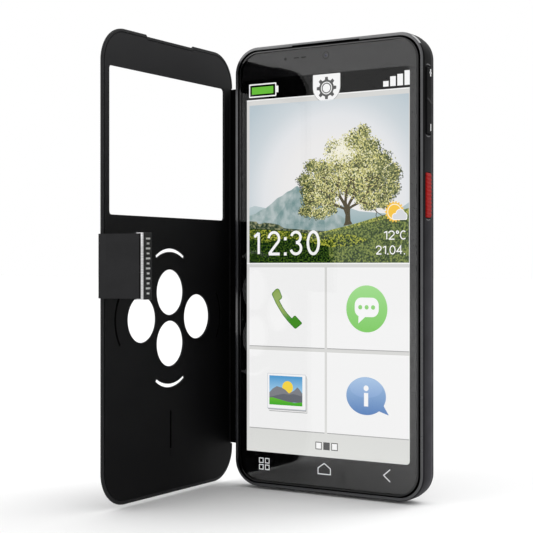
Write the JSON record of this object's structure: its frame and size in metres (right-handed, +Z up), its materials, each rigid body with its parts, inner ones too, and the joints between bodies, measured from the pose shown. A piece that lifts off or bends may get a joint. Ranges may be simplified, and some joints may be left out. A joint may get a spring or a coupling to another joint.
{
  "type": "personal digital assistant",
  "caption": "Touch-screen pocket assistant in a removable book cover, with a windowed front flap, finger holes, a strap clip, side keys and a battery under the back shell.",
  "frame": {"origin": "centre of the phone's bottom edge, halfway through its thickness", "axes": "+Z up along the phone's height, +X across the screen to the side with the keys, -Y out of the screen"},
  "size_m": [0.08, 0.0725, 0.1474],
  "materials": {
    "graphite_plastic": "satin",
    "cover_glass": "polished",
    "black_plastic": "matte",
    "screen": "gloss",
    "dull_metal": "satin",
    "black_gloss": "gloss",
    "board_green": "satin",
    "gold_contact": "polished",
    "battery_wrap": "printed wrap",
    "clear_led": "gloss",
    "screw_steel": "satin",
    "cover_leather": "fine grain",
    "strap_leather": "fine grain",
    "clip_metal": "brushed, with a polished edge",
    "red_plastic": "ribbed"
  },
  "bodies": {
    "phone": {"mid_frame": "graphite_plastic", "front_glass": "cover_glass", "glass_gasket": "black_plastic", "display_panel": "screen", "touch_key_film": "black_plastic", "earpiece": "dull_metal", "front_camera": "black_gloss", "main_board": "board_green", "lower_board": "board_green", "shield_can": "dull_metal", "sim_holder": "dull_metal", "battery_contacts": "gold_contact", "battery": "battery_wrap", "usb_socket": "dull_metal", "headphone_jack": "black_plastic", "microphone": "dull_metal", "loudspeaker": "black_plastic", "vibration_motor": "dull_metal", "rear_camera": "black_gloss", "flash_led": "clear_led", "side_switches": "dull_metal", "frame_screws": "screw_steel"},
    "back_cover": {"back_shell": "graphite_plastic", "camera_window": "cover_glass", "latch_magnet": "dull_metal"},
    "spine": {"spine_panel": "cover_leather"},
    "flap": {"flap_panel": "cover_leather"},
    "strap_root": {"strap_band": "strap_leather"},
    "strap": {"strap_tip": "strap_leather", "strap_clip": "clip_metal"},
    "volume_rocker": {"volume_rocker": "black_plastic"},
    "red_key": {"red_key": "red_plastic"}
  },
  "joints": [
    {"name": "back_cover_slide", "type": "slide", "parent": "phone", "child": "back_cover", "axis": [0, -1, 0], "range_m": [-0.012, 0]},
    {"name": "cover_hinge", "type": "hinge", "parent": "back_cover", "child": "spine", "pos_m": [-0.034, 0.0042, 0.0737], "axis": [0, 0, 1], "range_deg": [-90, 90]},
    {"name": "flap_fold", "type": "hinge", "parent": "spine", "child": "flap", "pos_m": [-0.0441, 0.0059, 0.0737], "axis": [0, 0, 1], "range_deg": [-180, 0]},
    {"name": "strap_swing", "type": "hinge", "parent": "flap", "child": "strap_root", "pos_m": [-0.0441, -0.0658, 0.0737], "axis": [0, 0, 1], "range_deg": [-36, 36]},
    {"name": "strap_crease", "type": "hinge", "parent": "strap_root", "child": "strap", "pos_m": [-0.03459, -0.06271, 0.0737], "axis": [0, 0, 1], "range_deg": [-60, 50]},
    {"name": "volume_rock", "type": "hinge", "parent": "phone", "child": "volume_rocker", "pos_m": [0.0331, -0.00165, 0.1256], "axis": [0, 1, 0], "range_deg": [-2, 2], "stiffness_Nm_per_rad": 0.5},
    {"name": "red_key_press", "type": "slide", "parent": "phone", "child": "red_key", "axis": [-1, 0, 0], "range_m": [0, 0.0004], "stiffness_N_per_m": 5000}
  ],
  "couplings": [
    {"joint": "strap_swing", "follows": "cover_hinge", "ratio": -0.4}
  ]
}
